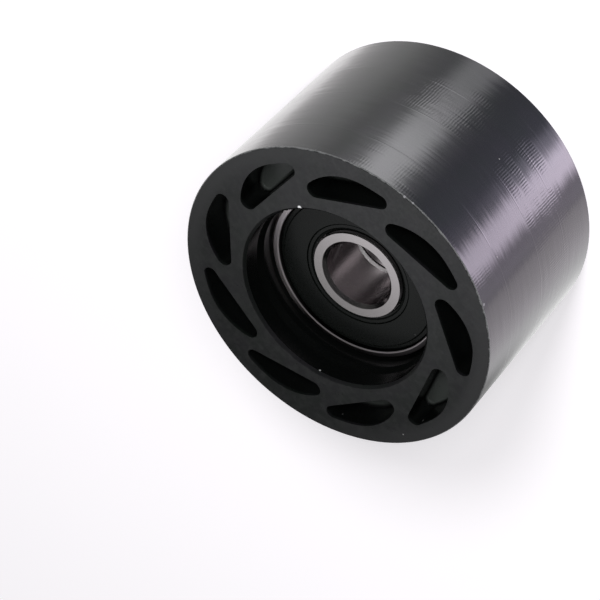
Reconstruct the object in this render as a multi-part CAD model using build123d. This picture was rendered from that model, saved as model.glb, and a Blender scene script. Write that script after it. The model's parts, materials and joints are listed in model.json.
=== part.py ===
from build123d import *
from math import acos, atan2, cos, degrees, pi, radians, sin, sqrt
import os

os.makedirs("parts", exist_ok=True)

# Chain roller standing on its end: axis along +Z, origin at the centre of the lower end face.
# The upper end is called front, the lower end rear. All sizes are in millimetres.

# Roller body
ROLLER_D = 38.0
ROLLER_W = 24.0
EDGE_CHAMFER = 0.12

# Recess at each end of the hub, from the end face down to the bearing
RECESS_STEP = 0.35
RECESS_CHAMFER = 0.3
RECESS_WALL = 2.5
LEAD_IN = 0.9

# Swirl pockets of the end faces. A round head touches the hub wall and a round tail the rim wall; a
# straight hub side joins them, and a bowed leading side runs from the rim wall to the head. Turns are
# in degrees from the pocket's middle.
POCKETS = 9
POCKET_PHASE = -90.0
POCKET_DEPTH = 4.0
RIM_WALL = 1.95
HUB_WALL = 2.1
HEAD_TURN = 14.4
TAIL_TURN = -14.7
LEADING_SIDE_R = 6.8

# Corner radii and floor chamfer of a pocket, as shares of its width from hub wall to rim wall
HEAD_ROUNDING = 0.25
TAIL_ROUNDING = 0.215
FLOOR_CHAMFER = 0.1

# Sealed ball bearing, size 608: two of them back to back
BORE_D = 8.0
BEARING_D = 22.0
BEARING_W = 7.0
BORE_CHAMFER = 0.4
RACE_CHAMFER = 0.3
BALLS = 7
BALL_D = 3.969
BALL_CLEARANCE = 0.03
INNER_TRACK_CONFORMITY = 0.515
OUTER_TRACK_CONFORMITY = 0.53

# Race shoulders beside the ball track, seal lands and seal grooves
INNER_SHOULDER_DROP = 1.45
OUTER_SHOULDER_RISE = 1.7
LAND_STEP = 0.5
LAND_DEPTH = 1.15
LAND_CHAMFER = 0.12
GROOVE_WALL = 0.85
GROOVE_TOP = 0.45
LIP_WALL = 1.1
LIP_CHAMFER = 0.25

# Moulded rubber seal
SEAL_BACK = 0.75
SEAL_FACE = 0.2
SEAL_RIM_STEP = 0.4
SEAL_EDGE = 0.15
SEAL_LIP_GAP = 0.05
LIP_ZONE = 0.9
BEAD_WIDTH = 0.5
BEAD_DROP = 0.08
LIP_VALLEY = 0.28
LIP_TIP = 0.2

# One-piece snap cage: a ring under the balls with a prong at each side of every ball
CAGE_HALF_WIDTH = 1.05
CAGE_POCKET_CLEARANCE = 0.05
CAGE_BASE = 0.25
CAGE_CROWN = 0.95
CAGE_PRONG = 0.6

# Sizes that follow
roller_r = ROLLER_D / 2
bore_r = BORE_D / 2
seat_r = BEARING_D / 2
half_w = BEARING_W / 2
mid_z = ROLLER_W / 2
recess_r = seat_r + RECESS_STEP
recess_mouth_r = recess_r + RECESS_CHAMFER
rim_side_r = roller_r - RIM_WALL
hub_side_r = seat_r + HUB_WALL
pocket_w = rim_side_r - hub_side_r
pitch_r = (bore_r + seat_r) / 2
ball_r = BALL_D / 2
inner_track_r = INNER_TRACK_CONFORMITY * BALL_D
outer_track_r = OUTER_TRACK_CONFORMITY * BALL_D
inner_shoulder_r = pitch_r - INNER_SHOULDER_DROP
outer_shoulder_r = pitch_r + OUTER_SHOULDER_RISE
land_r = inner_shoulder_r - LAND_STEP
groove_r = seat_r - GROOVE_WALL
lip_r = seat_r - LIP_WALL
seal_lip_r = land_r + SEAL_LIP_GAP
cage_pocket_r = ball_r + CAGE_POCKET_CLEARANCE


def turned(section):
    """Ring turned about Z from a half section drawn with x as radius and y as height."""
    return revolve(Plane.XZ * section, Axis.Z)


def half_section(points):
    """Face through (radius, height) points."""
    return make_face(Polyline(*points, close=True))


def mirrored(points):
    """A half section given for z > 0, from the inside face round to the outside, made whole."""
    return points + [(radius, -height) for radius, height in reversed(points)]


def polar(radius, turn):
    """Point at a radius and a turn in degrees from +X."""
    return Vector(radius * cos(radians(turn)), radius * sin(radians(turn)))


def arc(centre, radius, start_turn, end_turn):
    """Arc of a circle between two turns about its centre."""
    turns = start_turn, (start_turn + end_turn) / 2, end_turn
    return ThreePointArc(*(centre + polar(radius, turn) for turn in turns))


def turn_of(vector):
    """Turn of a vector from +X, in degrees."""
    return degrees(atan2(vector.Y, vector.X))


def leading_circle(head, head_r):
    """Centre of the circle that the rim wall touches from outside and the head from inside."""
    orbit = rim_side_r - LEADING_SIDE_R
    inset = LEADING_SIDE_R - head_r
    cosine = (orbit**2 + head.length**2 - inset**2) / (2 * orbit * head.length)
    return polar(orbit, HEAD_TURN - degrees(acos(cosine)))


def hub_side_turn(head, head_r, tail, tail_r):
    """Turn that the straight side from head to tail faces, towards the axis."""
    line = tail - head
    return turn_of(line) - degrees(acos((head_r - tail_r) / line.length)) + 360


def pocket_outline():
    """One pocket centred on +X: rim arc, leading side, head, hub side and tail."""
    head_r = HEAD_ROUNDING * pocket_w
    tail_r = TAIL_ROUNDING * pocket_w
    head = polar(hub_side_r + head_r, HEAD_TURN)
    tail = polar(rim_side_r - tail_r, TAIL_TURN)
    leading = leading_circle(head, head_r)
    start_turn = turn_of(leading)
    end_turn = turn_of(head - leading)
    hub_turn = hub_side_turn(head, head_r, tail, tail_r)
    rim_arc = arc(Vector(0, 0), rim_side_r, TAIL_TURN, start_turn)
    leading_side = arc(leading, LEADING_SIDE_R, start_turn, end_turn)
    head_arc = arc(head, head_r, end_turn, hub_turn)
    tail_arc = arc(tail, tail_r, hub_turn, TAIL_TURN + 360)
    hub_side = Line(head_arc @ 1, tail_arc @ 0)
    return make_face([rim_arc, leading_side, head_arc, hub_side, tail_arc])


def pocket_cutter():
    """Pocket as a solid that hangs down from z = 0, with its floor edge chamfered."""
    cutter = extrude(pocket_outline(), -POCKET_DEPTH)
    return chamfer(cutter.faces().sort_by(Axis.Z)[0].edges(), FLOOR_CHAMFER * pocket_w)


def roller_body():
    """Moulded roller: turned form with a stepped hub bore, and swirl pockets in both end faces."""
    cone_end = RECESS_WALL + LEAD_IN
    end_section = [
        (seat_r, mid_z - cone_end),
        (recess_r, mid_z - RECESS_WALL),
        (recess_r, mid_z - RECESS_CHAMFER),
        (recess_mouth_r, mid_z),
        (roller_r - EDGE_CHAMFER, mid_z),
        (roller_r, mid_z - EDGE_CHAMFER),
    ]
    body = turned(half_section(mirrored(end_section)))
    cutter = Pos(0, 0, mid_z) * pocket_cutter()
    pitch = 360 / POCKETS
    front = [Rot(0, 0, POCKET_PHASE + pitch * k) * cutter for k in range(POCKETS)]
    rear = [Rot(180, 0, 0) * pocket for pocket in front]
    return body - front - rear


def outer_race():
    """Outer race with its ball track and, at each side, a groove that holds a seal."""
    section = [
        (outer_shoulder_r, half_w - SEAL_BACK),
        (groove_r, half_w - SEAL_BACK),
        (groove_r, half_w - GROOVE_TOP),
        (lip_r, half_w - GROOVE_TOP),
        (lip_r, half_w - LIP_CHAMFER),
        (lip_r + LIP_CHAMFER, half_w),
        (seat_r - RACE_CHAMFER, half_w),
        (seat_r, half_w - RACE_CHAMFER),
    ]
    track_centre = pitch_r + ball_r + BALL_CLEARANCE - outer_track_r
    return turned(half_section(mirrored(section)) - Pos(track_centre, 0) * Circle(outer_track_r))


def inner_race():
    """Inner race with its ball track, a bored centre and a stepped land for each seal lip."""
    section = [
        (bore_r, half_w - BORE_CHAMFER),
        (bore_r + BORE_CHAMFER, half_w),
        (land_r - LAND_CHAMFER, half_w),
        (land_r, half_w - LAND_CHAMFER),
        (land_r, half_w - LAND_DEPTH),
        (inner_shoulder_r, half_w - LAND_DEPTH),
    ]
    track_centre = pitch_r - ball_r - BALL_CLEARANCE + inner_track_r
    return turned(half_section(mirrored(section)) - Pos(track_centre, 0) * Circle(inner_track_r))


def seal():
    """Rubber seal of the upper side: rim bead in the race groove, flat face, lip bead and lip."""
    face = half_w - SEAL_FACE
    back = half_w - SEAL_BACK
    zone_r = seal_lip_r + LIP_ZONE
    bead_out_r = zone_r - SEAL_EDGE
    bead_in_r = bead_out_r - BEAD_WIDTH
    face_r = lip_r - SEAL_RIM_STEP
    section = [
        (seal_lip_r, back + LIP_TIP),
        (seal_lip_r, back),
        (groove_r, back),
        (groove_r, half_w - GROOVE_TOP),
        (face_r, half_w - GROOVE_TOP),
        (face_r, face - SEAL_EDGE),
        (face_r - SEAL_EDGE, face),
        (zone_r, face),
        (zone_r, face - BEAD_DROP - SEAL_EDGE),
        (bead_out_r, face - BEAD_DROP),
        (bead_in_r + SEAL_EDGE, face - BEAD_DROP),
        (bead_in_r, face - LIP_VALLEY),
    ]
    return turned(half_section(section))


def ball_turns():
    """Turn about Z of each ball from +X, in degrees."""
    return [360 / BALLS * k for k in range(BALLS)]


def cage():
    """Snap cage: pockets bored inwards through a ring, and a slot between the prongs of each pair."""
    foot = cage_pocket_r + CAGE_BASE
    ring = turned(
        half_section([
            (pitch_r - CAGE_HALF_WIDTH, -foot),
            (pitch_r + CAGE_HALF_WIDTH, -foot),
            (pitch_r + CAGE_HALF_WIDTH, CAGE_CROWN),
            (pitch_r - CAGE_HALF_WIDTH, CAGE_CROWN),
        ])
    )
    pocket_half_w = sqrt(cage_pocket_r**2 - CAGE_CROWN**2)
    slot_r = pitch_r * sin(pi / BALLS) - pocket_half_w - CAGE_PRONG
    inwards = Rot(0, 90, 0)
    pocket = Pos(pitch_r, 0) * inwards * Cylinder(cage_pocket_r, pitch_r)
    slot = Pos(pitch_r, 0, CAGE_CROWN) * inwards * Cylinder(slot_r, pitch_r)
    pockets = [Rot(0, 0, turn) * pocket for turn in ball_turns()]
    slots = [Rot(0, 0, turn + 180 / BALLS) * slot for turn in ball_turns()]
    return ring - pockets - slots


def bearing(end, centre_z, outboard_turn):
    """All pieces of one bearing, by node name, turned so that its outboard side faces out."""
    place = Pos(0, 0, centre_z) * Rot(outboard_turn, 0, 0)
    upside_down = Rot(180, 0, 0)
    pieces = {
        "outer_race": outer_race(),
        "inner_race": inner_race(),
        "outboard_seal": seal(),
        "inboard_seal": upside_down * seal(),
        "cage": cage(),
    }
    for number, turn in enumerate(ball_turns(), 1):
        pieces[f"ball_{number}"] = Rot(0, 0, turn) * Pos(pitch_r, 0) * Sphere(ball_r)
    return {f"{end}_{name}": place * piece for name, piece in pieces.items()}


def chain_roller():
    """Every node of the roller, by name."""
    nodes = {"roller_body": Pos(0, 0, mid_z) * roller_body()}
    nodes.update(bearing("front", mid_z + half_w, 0))
    nodes.update(bearing("rear", mid_z - half_w, 180))
    return nodes


for node_name, node in chain_roller().items():
    export_step(node, f"parts/{node_name}.step")
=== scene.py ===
import json
from functools import reduce
from math import cos, radians, sin, tau

import bpy
from mathutils import Matrix, Vector


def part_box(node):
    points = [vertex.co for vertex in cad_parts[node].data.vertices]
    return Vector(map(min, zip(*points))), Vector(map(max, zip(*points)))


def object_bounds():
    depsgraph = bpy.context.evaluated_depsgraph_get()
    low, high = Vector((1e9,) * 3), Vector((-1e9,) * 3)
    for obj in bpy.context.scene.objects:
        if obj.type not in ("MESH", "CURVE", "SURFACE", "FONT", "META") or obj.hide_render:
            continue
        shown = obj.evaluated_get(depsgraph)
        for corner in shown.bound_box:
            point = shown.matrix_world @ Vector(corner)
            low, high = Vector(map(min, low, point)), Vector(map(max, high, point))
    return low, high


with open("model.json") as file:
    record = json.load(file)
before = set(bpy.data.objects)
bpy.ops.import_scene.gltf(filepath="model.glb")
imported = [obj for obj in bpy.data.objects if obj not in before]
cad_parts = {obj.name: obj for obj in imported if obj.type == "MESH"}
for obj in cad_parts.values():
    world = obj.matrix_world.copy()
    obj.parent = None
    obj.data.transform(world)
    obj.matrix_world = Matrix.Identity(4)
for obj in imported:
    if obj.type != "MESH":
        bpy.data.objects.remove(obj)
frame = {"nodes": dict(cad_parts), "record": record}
cad_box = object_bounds()

# Lengths are in millimetres, and MM turns them into metres
MM = 0.001
ROLLER_R = (cad_box[1].x - cad_box[0].x) / 2 / MM
FRONT_Z = cad_box[1].z / MM
MIDDLE_Z = FRONT_Z / 2
RACE_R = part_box("front_outer_race")[1].x / MM
EDGE_CHAMFER = 0.12
BORE_R = 4.0
POCKET_DEPTH = 4.0
POCKET_INNER_R = 13.2

# Camera: the photograph's, aimed so that its principal point is the picture's middle
CAMERA_AZIMUTH = 12.13
CAMERA_ELEVATION = 41.31
CAMERA_DISTANCE = 242.5 * MM
CAMERA_RIGHT = -9.85 * MM
CAMERA_UP = -6.44 * MM
CAMERA_ROLL = 224.07
CAMERA_CLIP = (10 * MM, 20000 * MM)
LENS = 130.27
SENSOR = 36.0

# Settings below are the trailing arguments of the call that each feeds: a step from start to end, with
# low and high where given; a band from start to end with its soft width; a noise's scale, detail and
# roughness; and a side noise's cycles per mm down and per radian round, seed, detail and roughness.

# Plastic, zones, some for painted shade, painted light and a painted sheen: radii, depths below the
# nearer end face, and the sheen's wave round the turn
SIDE_RADIUS = (ROLLER_R - 0.15, ROLLER_R - 0.02)
FACE_DEPTH = (0.12, 0.02)
RIM_DEPTH = (EDGE_CHAMFER + 0.05, EDGE_CHAMFER)
RIM_SOFT = 0.05
RIM_START = (0.42, 0.75, ROLLER_R - 0.10, ROLLER_R - 0.17)
RIM_GREYING = (0.30, 0.70, 0.45, 0.85)
RECESS_RADIUS = (ROLLER_R - 0.6, ROLLER_R - 0.7)
RECESS_DEPTH = (0.32, 0.40)
HUB_RADIUS = (12.2, 12.1)
SHEEN_RADIUS = (16.4, 18.3)
SHEEN_WAVE = (2.0, -0.5)
POCKET_FLOOR_DEPTH = (POCKET_DEPTH - 0.30, POCKET_DEPTH - 0.02)
POCKET_FLOOR_END = (POCKET_DEPTH + 0.1, POCKET_DEPTH + 0.2)
POCKET_FLOOR_RADIUS = (POCKET_INNER_R - 0.3, POCKET_INNER_R)

# Plastic, wear and dirt, and a painted glint
BURR = (1.6, 5.0, 0.75)
MOTTLE = (0.35, 3.0)
MOTTLING = (0.3, 0.7)
BLOTCH = (1.1, 3.0, 0.6)
BLOTCH_SEED = 3.0
BLOTCHING = (0.42, 0.66, 0.0, 0.5)
SCUFFS = (1.0, 6.0, 0.7)
SCUFF_STRETCH = (0.7, 2.2)
SCUFFING = (0.48, 0.75, 0.0, 0.40)
STREAK_COVER = 0.5
PLASTIC_SPECKS = (0.42, 0.045, 0.72)
# Nicks on the rims, flecks in the recess and pockets, and one painted glint: x, y, z and size
NICKS = (
    (6.18, -17.95, 24.0, 0.22),
    (5.16, -18.29, 23.9, 0.16),
    (-7.88, -17.29, 23.6, 0.22),
)
FLECKS = (
    (5.25, 10.07, 20.58, 0.17),
    (-6.56, 9.26, 23.56, 0.15),
    (-10.46, 4.41, 21.0, 0.17),
)
GLINT = ((10.66, -4.72, 23.95, 0.30),)
MARK_CORE = 0.4
SPECK_CORE = 0.6
SPECK_CHANCE_SOFT = 0.02

# Plastic, turning and chatter marks of the running surface, by depth below the front face
PASSES = ((4.95, 5.0, 0.09), (11.95, 12.0, 0.09), (17.65, 17.7, 0.12))
GROOVES = (7.0, 1.3, 0.0, 4.0, 0.6)
STREAKS = (5.0, 2.2, 8.0, 5.0, 0.7)
STREAKING = (0.52, 0.70)
RAGGED = (4.0, 2.0, 4.0, 6.0, 0.72)
NOISE_MIDDLE = 0.5
LEAN = 0.18
WANDER = (0.35, 5.0, 2.0)
BELT = (12.8, 18.8, 1.4)
BELT_PATCHES = (0.34, 0.56)
FRONT_BELT = (6.5, 1.0)
FRONT_PATCHES = (0.46, 0.60, 0.0, 0.5)
RIBS = 360.0
RIB_SLANT = 0.5
SWAY = (0.9, 9.0, 5.0)
SWAY_SIZE = 5.0
RIB_CHANGE = (1.1, 22.0, 9.0, 2.0)
RIB_LEVELS = (0.30, 0.65, 0.50, 1.0)
ROW_PITCH = 1.0
ROWS_JOIN = (0.42, 0.56)

# Plastic, roughness and bump heights
GRAIN = (9.0, 4.0)
SATIN = (3.0, 4.0)
SATIN_ROUGHNESS = (0.25, 0.75, 0.27, 0.37)
HUB_ROUGHNESS = 0.19
SIDE_ROUGHNESS = (0.25, 0.75, 0.105, 0.15)
STREAK_ROUGHNESS = 0.05
RIM_ROUGHNESS = 0.45
GRAIN_BUMP = 0.0016
GROOVE_BUMP = 0.0034
PASS_BUMP = 0.0060
CHATTER_BUMP = 0.0090
BURR_BUMP = 0.03
POLYMER_IOR = 1.5

# Steel: fine lines and smears, then the painted light and shade of the outer race's face, of what shows
# in the bore, and of its wall
LINES_PER_MM = 30.0
SMEAR_STRETCH = (9.0, 1.5, 0.15)
OUTER_RACE = (RACE_R - 1.25, RACE_R - 1.15)
# Outer race: painted shade over its face and lip, its inner edge kept bright as a painted highlight,
# and one stretch round the turn painted brighter
OUTER_EDGE = (RACE_R - 0.87, RACE_R - 0.80, 0.10)
OUTER_EDGE_HIGHLIGHT = 0.75
OUTER_EDGE_PAINT = 0.13
OUTER_SHADE = (RACE_R - 0.80, RACE_R - 0.10, 0.12, 0.035)
OUTER_HIGHLIGHT_LEVEL = 1.25
OUTER_HIGHLIGHT_TURN = (0.0, 72.0, 30.0)
OUTER_LIP = (RACE_R - 0.98, RACE_R - 0.88, 0.05, 1.0)
IN_BORE = (BORE_R + 0.6, BORE_R + 0.5)
# Painted shade over the lower race's chamfer in the bore, and a painted highlight line along its top
CHAMFER_BAND = (MIDDLE_Z - 0.38, MIDDLE_Z, 0.02)
CHAMFER_SHADE_LEVEL = 0.15
HIGHLIGHT_LINE_BAND = (MIDDLE_Z - 0.24, MIDDLE_Z, 0.06)
HIGHLIGHT_LINE_FADE = (84.0, 104.0)
# Painted shade at the bore wall's sides, painted light in its middle and a painted highlight streak
BORE_WALL = (BORE_R + 0.08, BORE_R + 0.02)
WALL_SHADE_LEVEL = 0.50
WALL_LIT_TURN = (74.0, 146.0, 20.0)
WALL_LIT_LEVEL = 0.62
WALL_HIGHLIGHT_TURN = (77.0, 85.0, 9.0)
WALL_HIGHLIGHT_LEVEL = 0.22
LINE_ROUGHNESS = (0.2, 0.8, 0.15, 0.19)
SMEAR_ROUGHNESS = (0.3, 0.7, 0.0, 0.02)
WALL_ROUGHNESS = 0.24
HIGHLIGHT_LINE_ROUGHNESS = 0.12
OUTER_ROUGHNESS = 0.42
LINE_BUMP = 0.0001

# Rubber, nylon and the balls' steel
RUBBER_GRAIN = (6.0, 4.0)
RUBBER_SPECKS = (0.7, 0.05, 0.6)
RUBBER_ROUGHNESS = (0.2, 0.8, 0.25, 0.32)
RUBBER_BUMP = 0.002
RUBBER_SPECULAR = 0.33
NYLON_CLOUD = (0.8, 3.0)
NYLON_ROUGHNESS = (0.2, 0.8, 0.38, 0.5)
NYLON_SUBSURFACE = 0.1
BALL_HAZE = (2.0, 3.0)
BALL_ROUGHNESS = (0.3, 0.8, 0.06, 0.12)

# Linear colours
BLACK_GREENISH = (0.0036, 0.0048, 0.0041, 1)
BLACK_VIOLET = (0.0052, 0.0050, 0.0060, 1)
BLOTCH_GREY = (0.0135, 0.0142, 0.0138, 1)
SCUFF_GREY = (0.022, 0.023, 0.024, 1)
# Painted shade in the hollows, a painted sheen near the rim, and painted light on the pockets' floor
# faces
RECESS_PAINTED_SHADE = (0.0016, 0.0019, 0.0018, 1)
SHEEN_PAINT_GREY = (0.017, 0.0172, 0.0178, 1)
POCKET_FLOOR_PAINTED_LIGHT = (0.044, 0.049, 0.046, 1)
RIM_GREY = (0.15, 0.153, 0.155, 1)
STREAK_GREY = (0.016, 0.016, 0.018, 1)
SPECK_GREY = (0.22, 0.22, 0.22, 1)
NICK_GREY = (0.20, 0.20, 0.21, 1)
FLECK_GREY = (0.30, 0.30, 0.30, 1)
GLINT_WHITE = (0.90, 0.90, 0.92, 1)
STEEL_DARK = (0.67, 0.62, 0.635, 1)
STEEL_LIGHT = (0.76, 0.705, 0.72, 1)
# Painted highlight line on the lower race's chamfer, bright on one side and dimmer on the other
HIGHLIGHT_LINE_BRIGHT = (0.97, 0.95, 0.96, 1)
HIGHLIGHT_LINE_DIM = (0.60, 0.57, 0.58, 1)
RUBBER_DARK = (0.0022, 0.0029, 0.0025, 1)
RUBBER_LIGHT = (0.0036, 0.0043, 0.0039, 1)
DUST_GREY = (0.16, 0.16, 0.16, 1)
NYLON_DARK = (0.60, 0.54, 0.42, 1)
NYLON_LIGHT = (0.72, 0.66, 0.53, 1)
BALL_DARK = (0.66, 0.66, 0.66, 1)
BALL_LIGHT = (0.72, 0.72, 0.73, 1)
WHITE = (1, 1, 1, 1)
FLOOR_PAINT = (0.82, 0.79, 0.83, 1)
BORE_LIGHT_TINT = (0.99, 0.97, 0.98, 1)
PANEL_LOW_TINT = (0.98, 1.02, 0.98, 1)
PANEL_HIGH_TINT = (1.00, 0.99, 1.05, 1)

# Studio: the floor, the dome and the two soft lamps, by name, azimuth, elevation and power
FLOOR_R = 1500.0
FLOOR_SIDES = 96
FLOOR_GLOW = 0.31
DIFFUSE_LEVEL = 0.40
OVERHEAD_LEVEL = 0.9
LAMPS = (("key", 36, 40, 1.05), ("fill", 12, 42, 0.9))
LAMP_DISTANCE = 450 * MM
LAMP_SIZE = 120 * MM

# What gloss sees: a drum of soft light round the roller. Its wall glows by azimuth, in degrees from +X,
# and by height. Its nodes hold brightness as a share of the peak.
DRUM_R = 70.0
DRUM_TOP = 170.0
DRUM_BOTTOM = -110.0
DRUM_PEAK = 8.0
DRUM_SIDES = 128
# Even wrap of the drum's lower wall: azimuth, tint and brightness
WRAP = (
    (0, (1.00, 1.00, 1.00), 1.15),
    (28, (1.00, 0.98, 0.99), 1.25),
    (38, (1.00, 0.97, 0.98), 1.45),
    (47, (1.00, 0.98, 0.99), 1.95),
    (58, (1.00, 0.98, 0.99), 1.60),
    (77, (1.00, 1.00, 1.00), 1.15),
    (105, (1.00, 1.00, 1.00), 0.95),
    (146, (1.00, 1.00, 1.00), 1.25),
    (166, (1.00, 0.99, 1.01), 1.50),
    (185, (1.03, 0.97, 1.04), 1.72),
    (210, (1.04, 0.96, 1.05), 1.76),
    (213, (1.04, 0.95, 1.12), 1.10),
    (217, (1.04, 0.95, 1.12), 1.55),
    (230, (1.05, 0.94, 1.15), 1.20),
    (262, (1.00, 1.00, 1.28), 0.61),
    (292, (1.00, 1.00, 1.20), 0.42),
    (335, (1.00, 1.00, 1.04), 0.67),
    (352, (1.00, 1.00, 1.00), 1.00),
    (360, (1.00, 1.00, 1.00), 1.15),
)
# Strips on the lower wall, the last one dark: azimuth, half width, soft edge, tint, and brightness at
# the strips' top and bottom
STRIPS = (
    (239.5, 3.5, 12.0, (1.07, 0.94, 1.14), 4.6, 6.0),
    (252.0, 3.0, 10.0, (1.03, 0.96, 1.20), 0.2, 1.4),
    (313.5, 4.0, 14.0, (1.00, 0.99, 1.02), 3.3, 1.3),
    (315.0, 8.0, 24.0, (1.00, 0.99, 1.02), 1.2, 0.1),
    (140.0, 8.0, 25.0, (1.00, 1.00, 1.00), -0.90, 0.0),
)
STRIP_TOP = -33.0
STRIP_BOTTOM = -55.0
STRIP_FADE = (25.0, 0.0)
# Upper wall: one soft panel on a dark ground
PANEL_LEVEL = 1.32
PANEL_TURN = (60.0, 92.0, 78.0)
PANEL_HEIGHT = (58.0, 132.0)
PANEL_TINTING = (70.0, 120.0)
SHADE_LEVEL = 0.03
UPPER_WALL = (10.0, 36.0)

# Patch of light under the bore, by azimuth
BORE_LIGHT_R = 11.6
BORE_LIGHT_Z = 0.05
BORE_LIGHT_SIDES = 64
BORE_LIGHT_SHADE = (-110.0, -75.0, 45.0)
BORE_LIGHT_LEVELS = (0.23, 0.03)
BORE_LIGHT_STREAK = (-22.0, 0.0, 16.0)
BORE_LIGHT_STREAK_LEVEL = 0.50


class Nodes:
    """Short calls that build one node tree. A value may be a number, a colour or another socket."""

    def __init__(self, tree):
        self.tree = tree
        tree.nodes.clear()

    def add(self, kind, values=None, **settings):
        node = self.tree.nodes.new(kind)
        for name, setting in settings.items():
            setattr(node, name, setting)
        for key, value in (values or {}).items():
            self.feed(node.inputs[key], value)
        return node

    def feed(self, socket, value):
        if isinstance(value, bpy.types.NodeSocket):
            self.tree.links.new(value, socket)
        else:
            socket.default_value = value

    def math(self, operation, *values):
        node = self.add("ShaderNodeMath", operation=operation)
        for socket, value in zip(node.inputs, values):
            self.feed(socket, value)
        return node.outputs[0]

    def times(self, *values):
        return reduce(lambda a, b: self.math("MULTIPLY", a, b), values)

    def plus(self, *values):
        return reduce(lambda a, b: self.math("ADD", a, b), values)

    def most(self, *values):
        """The largest of the values."""
        return reduce(lambda a, b: self.math("MAXIMUM", a, b), values)

    def inverse(self, value):
        """One less the value."""
        return self.math("SUBTRACT", 1.0, value)

    def wave(self, operation, angle):
        """Sine or cosine of an angle, moved to go from zero to one."""
        return self.math("MULTIPLY_ADD", self.math(operation, angle), 0.5, 0.5)

    def combine(self, x=0.0, y=0.0, z=0.0):
        return self.add("ShaderNodeCombineXYZ", {"X": x, "Y": y, "Z": z}).outputs[0]

    def step(self, value, start, end, low=0.0, high=1.0):
        """Smooth step from low to high while value goes from start to end."""
        sizes = {0: value, 1: start, 2: end, 3: low, 4: high}
        return self.add("ShaderNodeMapRange", sizes, interpolation_type="SMOOTHSTEP").outputs[0]

    def band(self, value, start, end, soft):
        """One inside start to end, falling to zero over the soft width outside."""
        rise = self.step(value, start - soft, start)
        fall = self.step(value, end, end + soft, 1.0, 0.0)
        return self.times(rise, fall)

    def noise(self, vector, scale, detail=2.0, roughness=0.5):
        values = {"Vector": vector, "Scale": scale, "Detail": detail, "Roughness": roughness}
        return self.add("ShaderNodeTexNoise", values).outputs["Fac"]

    def mix(self, factor, a, b):
        """Colour mix of a and b."""
        node = self.add("ShaderNodeMix", data_type="RGBA")
        for socket, value in zip((node.inputs[0], node.inputs[6], node.inputs[7]), (factor, a, b)):
            self.feed(socket, value)
        return node.outputs[2]

    def blend(self, factor, a, b):
        """Number mix of a and b."""
        node = self.add("ShaderNodeMix", data_type="FLOAT")
        for socket, value in zip((node.inputs[0], node.inputs[2], node.inputs[3]), (factor, a, b)):
            self.feed(socket, value)
        return node.outputs[0]

    def ramp(self, factor, stops):
        """Colour ramp through (place, colour) stops."""
        node = self.add("ShaderNodeValToRGB", {"Fac": factor})
        elements = node.color_ramp.elements
        elements.remove(elements[1])
        for number, (place, colour) in enumerate(stops):
            element = elements[0] if number == 0 else elements.new(place)
            element.position = place
            element.color = (*colour, 1.0)
        return node.outputs[0]

    def vector(self, operation, a, b):
        """Vector sum, or another operation that gives a vector."""
        return self.add("ShaderNodeVectorMath", {0: a, 1: b}, operation=operation).outputs[0]

    def scaled(self, colour, factor):
        """A colour or a vector times a number."""
        node = self.add("ShaderNodeVectorMath", operation="SCALE")
        self.feed(node.inputs[0], colour if isinstance(colour, bpy.types.NodeSocket) else colour[:3])
        self.feed(node.inputs["Scale"], factor)
        return node.outputs[0]

    def bump(self, height, distance, normal=None):
        """Bump of a height given in millimetres at full strength."""
        values = {"Strength": 1.0, "Distance": distance * MM, "Height": height}
        if normal is not None:
            values["Normal"] = normal
        return self.add("ShaderNodeBump", values).outputs[0]

    def emission(self, colour, strength):
        return self.add("ShaderNodeEmission", {"Color": colour, "Strength": strength}).outputs[0]


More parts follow.
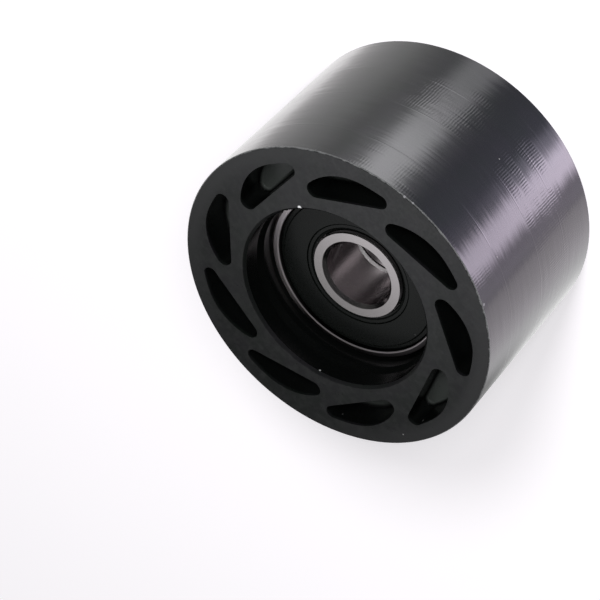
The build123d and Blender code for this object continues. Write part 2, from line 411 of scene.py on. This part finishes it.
class Surface(Nodes):
    """Node tree of one material, which knows where on the roller its point lies."""

    def __init__(self, name):
        self.material = bpy.data.materials.new(name)
        self.material.use_nodes = True
        super().__init__(self.material.node_tree)
        self.point = self.scaled(self.add("ShaderNodeTexCoord").outputs["Object"], 1 / MM)
        self.x, self.y, self.z = self.add("ShaderNodeSeparateXYZ", {0: self.point}).outputs
        squares = self.plus(self.math("POWER", self.x, 2.0), self.math("POWER", self.y, 2.0))
        self.radius = self.math("SQRT", squares)
        self.turn = self.math("ARCTAN2", self.y, self.x)
        # Depth below the nearer end face, and below the front one
        from_middle = self.math("ABSOLUTE", self.math("SUBTRACT", self.z, MIDDLE_Z))
        self.depth = self.math("SUBTRACT", MIDDLE_Z, from_middle)
        self.down = self.math("SUBTRACT", FRONT_Z, self.z)

    def side_noise(self, along, round_axis, seed, detail=2.0, roughness=0.5):
        """Noise over the running surface, with its own stretch along the axis and round it."""
        place = self.combine(self.times(self.down, along), self.times(self.turn, round_axis), seed)
        return self.noise(place, 1.0, detail, roughness)

    def specks(self, scale, size, sparse):
        """Small round specks: one cell in a few of a scattered pattern holds one."""
        cells = self.add("ShaderNodeTexVoronoi", {"Vector": self.point, "Scale": scale})
        chance = self.add("ShaderNodeSeparateColor", {0: cells.outputs["Color"]}).outputs[0]
        there = self.step(chance, sparse, sparse + SPECK_CHANCE_SOFT)
        return self.times(there, self.step(cells.outputs["Distance"], size, size * SPECK_CORE))

    def sheared(self, amount):
        """Surface normal leaned round the axis by a small amount."""
        along = self.combine(self.times(self.y, -1.0), self.x, 0.0)
        spaces = {"vector_type": "NORMAL", "convert_from": "OBJECT", "convert_to": "WORLD"}
        turned = self.add("ShaderNodeVectorTransform", {0: along}, **spaces).outputs[0]
        upright = self.add("ShaderNodeNewGeometry").outputs["Normal"]
        both = self.vector("ADD", upright, self.scaled(turned, amount))
        return self.add("ShaderNodeVectorMath", {0: both}, operation="NORMALIZE").outputs[0]

    def marks(self, places):
        """Small spots at given points: x, y, z and size."""
        spots = []
        for x, y, z, size in places:
            ends = {0: self.point, 1: (x, y, z)}
            apart = self.add("ShaderNodeVectorMath", ends, operation="DISTANCE").outputs["Value"]
            spots.append(self.step(apart, size, size * MARK_CORE))
        return self.most(*spots)

    def layers(self, colour, coats):
        """A colour under coats of others, each with its mask."""
        for mask, coat in coats:
            colour = self.mix(mask, colour, coat)
        return colour

    def finish(self, colour, roughness, normal=None, **fixed):
        shader = self.add("ShaderNodeBsdfPrincipled", {"Base Color": colour, "Roughness": roughness})
        if normal is not None:
            self.feed(shader.inputs["Normal"], normal)
        for name, value in fixed.items():
            self.feed(shader.inputs[name.replace("_", " ")], value)
        self.add("ShaderNodeOutputMaterial", {"Surface": shader.outputs[0]})
        return self.material


def chatter(s):
    """Ribs along the axis about a degree apart, in patches that break into rows at their edges."""
    wander = s.side_noise(*WANDER)
    belt = s.times(s.band(s.down, *BELT), s.step(wander, *BELT_PATCHES))
    front_belt = s.times(s.step(s.down, *FRONT_BELT), s.step(wander, *FRONT_PATCHES))
    sway = s.math("MULTIPLY_ADD", s.side_noise(*SWAY), SWAY_SIZE, s.times(s.down, RIB_SLANT))
    ribs = s.wave("SINE", s.math("MULTIPLY_ADD", s.turn, RIBS, sway))
    ribs = s.times(ribs, s.step(s.side_noise(*RIB_CHANGE), *RIB_LEVELS))
    rows = s.wave("SINE", s.times(s.down, tau / ROW_PITCH))
    broken = s.blend(s.step(wander, *ROWS_JOIN), s.times(ribs, rows), ribs)
    return s.times(broken, s.most(belt, front_belt))


def plastic():
    """Black moulded plastic: satin faces, a turned running surface with chatter ribs, scuffed rims, and
    painted light and shade.
    """
    s = Surface("roller_plastic")
    side = s.step(s.radius, *SIDE_RADIUS)
    face = s.times(s.step(s.depth, *FACE_DEPTH), s.inverse(side))
    burr = s.noise(s.point, *BURR)
    past_start = s.math("SUBTRACT", s.radius, s.step(burr, *RIM_START))
    rim = s.times(s.step(past_start, 0.0, RIM_SOFT), s.step(s.depth, *RIM_DEPTH))
    # Painted shade: everything sunk more than about 0.4 mm below an end face, inside the rim, is
    # painted a deeper black
    recess = s.times(s.step(s.radius, *RECESS_RADIUS), s.step(s.depth, *RECESS_DEPTH))
    # Painted light: the pockets' flat floor faces are painted a lighter grey, so that they look as lit
    # as the end face, and their walls are not
    painted_floor_light = s.times(s.step(s.depth, *POCKET_FLOOR_DEPTH), s.step(s.radius, *POCKET_FLOOR_RADIUS))
    painted_floor_light = s.times(painted_floor_light, s.inverse(s.step(s.depth, *POCKET_FLOOR_END)), s.inverse(side))
    # Painted sheen: the end face is painted a lighter grey towards its outer rim, most along one
    # diameter
    painted_sheen = s.wave("COSINE", s.math("MULTIPLY_ADD", s.turn, *SHEEN_WAVE))
    painted_sheen = s.times(face, painted_sheen, s.step(s.radius, *SHEEN_RADIUS))

    # Turning marks round the side: three clearer passes, and fine grooves and streaks everywhere
    grooves = s.side_noise(*GROOVES)
    streaks = s.times(side, s.step(s.side_noise(*STREAKS), *STREAKING))
    passes = s.plus(*(s.band(s.down, *place) for place in PASSES))

    blotch = s.noise(s.combine(s.x, s.y, BLOTCH_SEED), *BLOTCH)
    stretch_x, stretch_y = SCUFF_STRETCH
    scuffs = s.noise(s.combine(s.times(s.x, stretch_x), s.times(s.y, stretch_y)), *SCUFFS)
    colour = s.mix(s.step(s.noise(s.point, *MOTTLE), *MOTTLING), BLACK_GREENISH, BLACK_VIOLET)
    # Among the real marks below, the hollows get painted shade, the pockets' floor faces painted light,
    # the face near the rim a painted sheen, and one spot a painted glint
    colour = s.layers(colour, (
        (s.times(face, s.step(blotch, *BLOTCHING)), BLOTCH_GREY),
        (s.times(face, s.step(scuffs, *SCUFFING)), SCUFF_GREY),
        (recess, RECESS_PAINTED_SHADE),
        (painted_sheen, SHEEN_PAINT_GREY),
        (painted_floor_light, POCKET_FLOOR_PAINTED_LIGHT),
        (s.times(rim, s.step(burr, *RIM_GREYING)), RIM_GREY),
        (s.times(streaks, STREAK_COVER), STREAK_GREY),
        (s.specks(*PLASTIC_SPECKS), SPECK_GREY),
        (s.marks(NICKS), NICK_GREY),
        (s.marks(FLECKS), FLECK_GREY),
        (s.marks(GLINT), GLINT_WHITE),
    ))

    satin = s.step(s.noise(s.point, *SATIN), *SATIN_ROUGHNESS)
    hub = s.times(recess, s.step(s.radius, *HUB_RADIUS))
    polished = s.plus(s.step(grooves, *SIDE_ROUGHNESS), s.times(streaks, STREAK_ROUGHNESS))
    roughness = s.blend(side, s.blend(hub, satin, HUB_ROUGHNESS), polished)
    roughness = s.blend(rim, roughness, RIM_ROUGHNESS)

    # Every turning line leans its own way, so the reflections' edges are ragged round the roller
    lean = s.times(side, s.math("SUBTRACT", s.side_noise(*RAGGED), NOISE_MIDDLE), LEAN)
    normal = s.bump(s.noise(s.point, *GRAIN), GRAIN_BUMP, s.sheared(lean))
    normal = s.bump(s.times(side, grooves), GROOVE_BUMP, normal)
    normal = s.bump(s.times(side, passes), PASS_BUMP, normal)
    normal = s.bump(s.times(side, chatter(s)), CHATTER_BUMP, normal)
    normal = s.bump(s.times(rim, burr), BURR_BUMP, normal)
    return s.finish(colour, roughness, normal, IOR=POLYMER_IOR)


def steel():
    """Ground bearing steel with fine turning lines round the axis, and painted light and shade on the
    races and in the bore.
    """
    s = Surface("bearing_steel")
    across = s.combine(s.times(s.radius, LINES_PER_MM), 0.0, s.times(s.z, LINES_PER_MM))
    lines = s.noise(across, 1.0)
    smeared = zip((s.turn, s.radius, s.z), SMEAR_STRETCH)
    smear = s.noise(s.combine(*(s.times(value, stretch) for value, stretch in smeared)), 1.0)
    colour = s.mix(lines, STEEL_DARK, STEEL_LIGHT)
    azimuth = s.math("DEGREES", s.turn)

    # Outer race: painted shade over its face, darkest outwards and at its inner lip; its inner edge
    # stays bright as a painted highlight, and one stretch round the turn is painted brighter still
    outer = s.step(s.radius, *OUTER_RACE)
    edge = s.band(s.radius, *OUTER_EDGE)
    lit_stretch = s.band(azimuth, *OUTER_HIGHLIGHT_TURN)
    level = s.blend(lit_stretch, s.step(s.radius, *OUTER_SHADE), OUTER_HIGHLIGHT_LEVEL)
    level = s.times(level, s.step(s.radius, *OUTER_LIP))
    level = s.most(level, s.times(edge, OUTER_EDGE_HIGHLIGHT))
    colour = s.mix(outer, colour, s.scaled(colour, level))

    # The lower race's chamfer shows in the bore with painted shade, and a painted highlight line along
    # its top, white on one side and greyer on the other
    inside = s.step(s.radius, *IN_BORE)
    chamfer = s.times(inside, s.band(s.z, *CHAMFER_BAND))
    highlight_line = s.times(inside, s.band(s.z, *HIGHLIGHT_LINE_BAND))
    bright = s.mix(s.step(azimuth, *HIGHLIGHT_LINE_FADE), HIGHLIGHT_LINE_BRIGHT, HIGHLIGHT_LINE_DIM)
    colour = s.mix(chamfer, colour, s.mix(highlight_line, s.scaled(colour, CHAMFER_SHADE_LEVEL), bright))
    # The painted highlight line in the bore is not metallic, and the outer race's inner edge is a
    # little less metallic, so that the lamps light them
    metal = s.inverse(s.most(s.times(outer, edge, OUTER_EDGE_PAINT), highlight_line))

    # Bore wall: painted shade at the sides, painted light in the middle and a painted highlight streak
    wall = s.step(s.radius, *BORE_WALL)
    wall_light = s.math("MULTIPLY_ADD", s.band(azimuth, *WALL_LIT_TURN), WALL_LIT_LEVEL, WALL_SHADE_LEVEL)
    wall_light = s.math("MULTIPLY_ADD", s.band(azimuth, *WALL_HIGHLIGHT_TURN), WALL_HIGHLIGHT_LEVEL, wall_light)
    colour = s.mix(wall, colour, s.scaled(colour, wall_light))

    roughness = s.plus(s.step(lines, *LINE_ROUGHNESS), s.step(smear, *SMEAR_ROUGHNESS))
    roughness = s.blend(wall, roughness, WALL_ROUGHNESS)
    roughness = s.blend(outer, s.blend(highlight_line, roughness, HIGHLIGHT_LINE_ROUGHNESS), OUTER_ROUGHNESS)
    return s.finish(colour, roughness, s.bump(lines, LINE_BUMP), Metallic=metal)


def rubber():
    """Black moulded rubber of the seals, with a little grey dust."""
    s = Surface("seal_rubber")
    grain = s.noise(s.point, *RUBBER_GRAIN)
    colour = s.mix(grain, RUBBER_DARK, RUBBER_LIGHT)
    colour = s.mix(s.specks(*RUBBER_SPECKS), colour, DUST_GREY)
    roughness = s.step(grain, *RUBBER_ROUGHNESS)
    gloss = {"IOR": POLYMER_IOR, "Specular_IOR_Level": RUBBER_SPECULAR}
    return s.finish(colour, roughness, s.bump(grain, RUBBER_BUMP), **gloss)


def nylon():
    """Natural moulded nylon of the ball cages."""
    s = Surface("cage_nylon")
    cloud = s.noise(s.point, *NYLON_CLOUD)
    colour = s.mix(cloud, NYLON_DARK, NYLON_LIGHT)
    return s.finish(colour, s.step(cloud, *NYLON_ROUGHNESS), Subsurface_Weight=NYLON_SUBSURFACE)


def ball_steel():
    """Polished steel of the balls."""
    s = Surface("ball_steel")
    haze = s.noise(s.point, *BALL_HAZE)
    return s.finish(s.mix(haze, BALL_DARK, BALL_LIGHT), s.step(haze, *BALL_ROUGHNESS), Metallic=1.0)


def dress():
    """Gives every CAD node the material of its slot."""
    finishes = {
        "roller_plastic": plastic(),
        "bearing_steel": steel(),
        "seal_rubber": rubber(),
        "cage_nylon": nylon(),
        "ball_steel": ball_steel(),
    }
    for part in frame["record"]["subparts"]:
        node = frame["nodes"][part["node"]]
        node.data.materials.clear()
        node.data.materials.append(finishes[part["material_slot"]])


def direction(azimuth, elevation):
    """Unit vector from the roller towards a place round it; azimuth 0 is -Y, and 90 is +X."""
    a, e = radians(azimuth), radians(elevation)
    return Vector((sin(a) * cos(e), -cos(a) * cos(e), sin(e)))


def add_camera():
    """Camera of the photograph, rolled so that the roller lies as it does there."""
    data = bpy.data.cameras.new("camera")
    data.lens = LENS
    data.sensor_width = SENSOR
    data.clip_start, data.clip_end = CAMERA_CLIP
    camera = bpy.data.objects.new("camera", data)
    bpy.context.scene.collection.objects.link(camera)
    bpy.context.scene.camera = camera
    back = direction(CAMERA_AZIMUTH, CAMERA_ELEVATION)
    level = Vector((cos(radians(CAMERA_AZIMUTH)), sin(radians(CAMERA_AZIMUTH)), 0))
    roll = Matrix.Rotation(radians(CAMERA_ROLL), 3, back)
    right = roll @ level
    up = back.cross(right)
    centre = (cad_box[0] + cad_box[1]) / 2
    turned = Matrix((right, up, back)).transposed().to_4x4()
    turned.translation = centre + CAMERA_DISTANCE * back + CAMERA_RIGHT * right + CAMERA_UP * up
    camera.matrix_world = turned


def add_lamp(name, azimuth, elevation, power):
    """Soft round lamp aimed at the roller's foot, which gloss doesn't see."""
    data = bpy.data.lights.new(name, "AREA")
    data.shape = "DISK"
    data.size = LAMP_SIZE
    data.energy = power
    lamp = bpy.data.objects.new(name, data)
    bpy.context.scene.collection.objects.link(lamp)
    towards = direction(azimuth, elevation)
    lamp.location = LAMP_DISTANCE * towards
    lamp.rotation_euler = towards.to_track_quat("Z", "Y").to_euler()
    lamp.visible_glossy = False


def stage_material(piece, name):
    """Gives a piece of the studio a material of its own, and returns its node tree."""
    material = bpy.data.materials.new(name)
    material.use_nodes = True
    piece.data.materials.append(material)
    return Nodes(material.node_tree)


def add_disc(name, radius, z, sides):
    """Flat disc of the studio."""
    place = {"radius": radius * MM, "location": (0, 0, z * MM)}
    bpy.ops.mesh.primitive_circle_add(vertices=sides, fill_type="NGON", **place)
    bpy.context.object.name = name
    return bpy.context.object


def add_floor():
    """Pale floor: the camera sees it white, with the roller's soft shadow."""
    floor = add_disc("floor", FLOOR_R, 0.0, FLOOR_SIDES)
    n = stage_material(floor, "floor_pale")
    paint = n.add("ShaderNodeBsdfDiffuse", {"Color": FLOOR_PAINT})
    seen = n.add("ShaderNodeLightPath").outputs["Is Camera Ray"]
    both = n.add("ShaderNodeAddShader")
    n.feed(both.inputs[0], paint.outputs[0])
    n.feed(both.inputs[1], n.emission(WHITE, n.times(seen, FLOOR_GLOW)))
    n.add("ShaderNodeOutputMaterial", {"Surface": both.outputs[0]})
    floor.visible_glossy = False


def add_world():
    """White to the camera, and a plain even dome to the rest."""
    world = bpy.data.worlds.new("studio")
    bpy.context.scene.world = world
    world.use_nodes = True
    n = Nodes(world.node_tree)
    path = n.add("ShaderNodeLightPath")
    seen = n.most(path.outputs["Is Camera Ray"], path.outputs["Is Transmission Ray"])
    dome = n.emission(WHITE, DIFFUSE_LEVEL)
    above = n.emission(WHITE, OVERHEAD_LEVEL)
    lit = n.add("ShaderNodeMixShader", {0: path.outputs["Is Glossy Ray"], 1: dome, 2: above})
    both = n.add("ShaderNodeMixShader", {0: seen, 1: lit.outputs[0], 2: n.emission(WHITE, 1.0)})
    n.add("ShaderNodeOutputWorld", {"Surface": both.outputs[0]})


def gloss_only(piece):
    """Marks a glowing piece of the studio that only reflections see."""
    piece.visible_camera = False
    piece.visible_diffuse = False
    piece.visible_transmission = False
    piece.visible_volume_scatter = False
    piece.visible_shadow = False
    piece.data.materials[0].cycles.emission_sampling = "NONE"


def place_parts(n):
    """X, Y and Z of the shaded point, in metres."""
    place = n.add("ShaderNodeNewGeometry").outputs["Position"]
    return n.add("ShaderNodeSeparateXYZ", {0: place}).outputs


def add_drum():
    """Drum of soft light: a bright wrap and strips low down, one soft panel and shade high up."""
    size = {"radius": DRUM_R * MM, "depth": (DRUM_TOP - DRUM_BOTTOM) * MM}
    middle = (0, 0, (DRUM_TOP + DRUM_BOTTOM) / 2 * MM)
    bpy.ops.mesh.primitive_cylinder_add(
        vertices=DRUM_SIDES, end_fill_type="NOTHING", location=middle, **size
    )
    drum = bpy.context.object
    drum.name = "studio_drum"
    n = stage_material(drum, "studio_drum")
    x, y, z = place_parts(n)
    height = n.math("DIVIDE", z, MM)
    turn = n.math("FRACT", n.plus(n.math("DIVIDE", n.math("ARCTAN2", y, x), tau), 1.0))
    azimuth = n.times(turn, 360.0)
    low = n.ramp(turn, [(a / 360, [t * level / DRUM_PEAK for t in tint]) for a, tint, level in WRAP])
    fade = n.step(height, *STRIP_FADE)
    for centre, half, soft, tint, top, bottom in STRIPS:
        strip = n.times(n.band(azimuth, centre - half, centre + half, soft), fade)
        level = n.step(height, STRIP_TOP, STRIP_BOTTOM, top / DRUM_PEAK, bottom / DRUM_PEAK)
        low = n.vector("ADD", low, n.scaled(tint, n.times(strip, level)))
    panel = n.times(n.band(azimuth, *PANEL_TURN), n.step(height, *PANEL_HEIGHT))
    tint = n.mix(n.step(height, *PANEL_TINTING), PANEL_LOW_TINT, PANEL_HIGH_TINT)
    levels = (PANEL_LEVEL / DRUM_PEAK, SHADE_LEVEL / DRUM_PEAK)
    high = n.scaled(tint, n.math("MULTIPLY_ADD", panel, *levels))
    wall = n.mix(n.step(height, *UPPER_WALL), low, high)
    n.add("ShaderNodeOutputMaterial", {"Surface": n.emission(wall, DRUM_PEAK)})
    gloss_only(drum)


def add_bore_light():
    """Dim patch under the bore, so that its steel shows some light and not the open studio."""
    patch = add_disc("bore_light", BORE_LIGHT_R, BORE_LIGHT_Z, BORE_LIGHT_SIDES)
    n = stage_material(patch, "bore_light")
    x, y, _ = place_parts(n)
    azimuth = n.math("DEGREES", n.math("ARCTAN2", y, x))
    base = n.blend(n.band(azimuth, *BORE_LIGHT_SHADE), *BORE_LIGHT_LEVELS)
    streak = n.times(n.band(azimuth, *BORE_LIGHT_STREAK), BORE_LIGHT_STREAK_LEVEL)
    n.add("ShaderNodeOutputMaterial", {"Surface": n.emission(BORE_LIGHT_TINT, n.plus(base, streak))})
    gloss_only(patch)


dress()
add_floor()
add_world()
add_drum()
add_bore_light()
for lamp in LAMPS:
    add_lamp(*lamp)
add_camera()
bpy.context.scene.view_settings.view_transform = "Standard"
